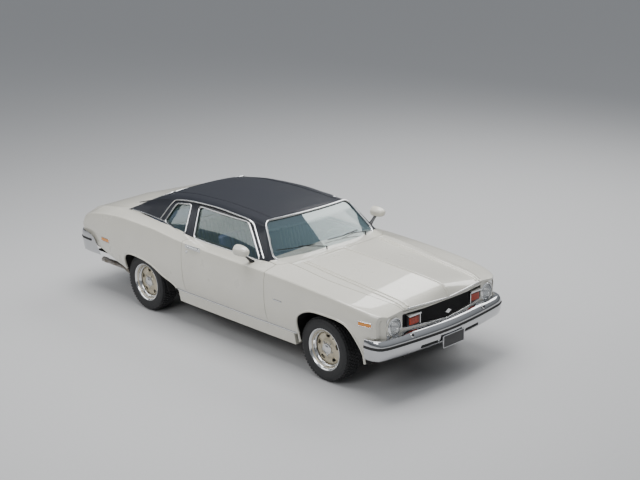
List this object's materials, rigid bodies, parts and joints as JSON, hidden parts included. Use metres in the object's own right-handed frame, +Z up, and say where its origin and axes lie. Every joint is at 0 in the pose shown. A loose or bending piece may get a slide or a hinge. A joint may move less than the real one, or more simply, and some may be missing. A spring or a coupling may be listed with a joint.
{
  "type": "muscle car",
  "caption": "Compact two-door coupe with a long hood, bench seats, vinyl roof, chrome bumpers, opening doors, hood and deck lid, steered front wheels.",
  "frame": {"origin": "on the ground under the middle of the car's box", "axes": "-Y towards the nose, +Y towards the tail, +X to the driver's left side, +Z up"},
  "size_m": [2.022, 4.934, 1.3699],
  "materials": {
    "body_paint": "off-white gloss paint",
    "vinyl_roof": "dark grained vinyl",
    "window_glass": "pale green tint",
    "grille_black": "satin black",
    "lamp_lens": "clear fluted lens",
    "tail_lens": "red lens",
    "chrome": "polished plating",
    "underbody": "matt dark undercoat",
    "trim_dark": "dark blue grained trim",
    "seat_vinyl": "blue pleated vinyl",
    "blade_metal": "satin",
    "chassis_metal": "satin black paint",
    "engine_metal": "cast",
    "exhaust_metal": "dull",
    "wheel_metal": "argent paint with a bright ring",
    "tyre": "matt"
  },
  "bodies": {
    "body": {"cowl": "body_paint", "fenders": "body_paint", "roof_shell": "vinyl_roof", "quarters": "body_paint", "fixed_glass": "window_glass", "front_panel": "body_paint", "grille": "grille_black", "front_lamps": "lamp_lens", "front_bumper": "chrome", "rear_bumper": "chrome", "tail_panel": "body_paint", "tail_lamps": "tail_lens", "floor_pan": "underbody", "sills": "body_paint", "wheelhouses": "underbody", "parcel_shelf": "trim_dark", "front_seat": "seat_vinyl", "rear_seat": "seat_vinyl", "dashboard": "trim_dark", "steering_wheel": "trim_dark", "wipers": "blade_metal", "front_subframe": "chassis_metal", "engine": "engine_metal", "radiator": "chassis_metal", "rear_axle": "chassis_metal", "exhaust": "exhaust_metal", "fuel_tank": "exhaust_metal"},
    "hood_panel": {"hood": "body_paint"},
    "deck": {"deck_lid": "body_paint"},
    "door_l": {"door_left": "body_paint", "door_glass_left": "window_glass"},
    "door_r": {"door_right": "body_paint", "door_glass_right": "window_glass"},
    "steer_l": {"knuckle_left": "engine_metal"},
    "steer_r": {"knuckle_right": "engine_metal"},
    "roll_fl": {"wheel_front_left": "wheel_metal", "tyre_front_left": "tyre"},
    "roll_fr": {"wheel_front_right": "wheel_metal", "tyre_front_right": "tyre"},
    "roll_rl": {"wheel_rear_left": "wheel_metal", "tyre_rear_left": "tyre"},
    "roll_rr": {"wheel_rear_right": "wheel_metal", "tyre_rear_right": "tyre"}
  },
  "joints": [
    {"name": "hood_hinge", "type": "hinge", "parent": "body", "child": "hood_panel", "pos_m": [0.618, -0.94, 0.988], "axis": [-1, 0, 0], "range_deg": [0, 50]},
    {"name": "deck_hinge", "type": "hinge", "parent": "body", "child": "deck", "pos_m": [0.048, 1.7835, 1.044], "axis": [1, 0, 0], "range_deg": [0, 60]},
    {"name": "door_left_hinge", "type": "hinge", "parent": "body", "child": "door_l", "pos_m": [0.917, -0.834, 0.7], "axis": [0, 0, -1], "range_deg": [0, 65]},
    {"name": "door_right_hinge", "type": "hinge", "parent": "body", "child": "door_r", "pos_m": [-0.917, -0.834, 0.7], "axis": [0, 0, 1], "range_deg": [0, 65]},
    {"name": "steer_left", "type": "hinge", "parent": "body", "child": "steer_l", "pos_m": [0.69, -1.587, 0.318], "axis": [0, 0, 1], "range_deg": [-28, 28]},
    {"name": "steer_right", "type": "hinge", "parent": "body", "child": "steer_r", "pos_m": [-0.69, -1.587, 0.318], "axis": [0, 0, 1], "range_deg": [-28, 28]},
    {"name": "roll_front_left", "type": "hinge", "parent": "steer_l", "child": "roll_fl", "pos_m": [0.75, -1.587, 0.318], "axis": [1, 0, 0], "continuous": true},
    {"name": "roll_front_right", "type": "hinge", "parent": "steer_r", "child": "roll_fr", "pos_m": [-0.75, -1.587, 0.318], "axis": [1, 0, 0], "continuous": true},
    {"name": "roll_rear_left", "type": "hinge", "parent": "body", "child": "roll_rl", "pos_m": [0.75, 1.232, 0.318], "axis": [1, 0, 0], "continuous": true},
    {"name": "roll_rear_right", "type": "hinge", "parent": "body", "child": "roll_rr", "pos_m": [-0.75, 1.232, 0.318], "axis": [1, 0, 0], "continuous": true}
  ],
  "couplings": [
    {"joint": "steer_right", "follows": "steer_left", "ratio": 1}
  ]
}
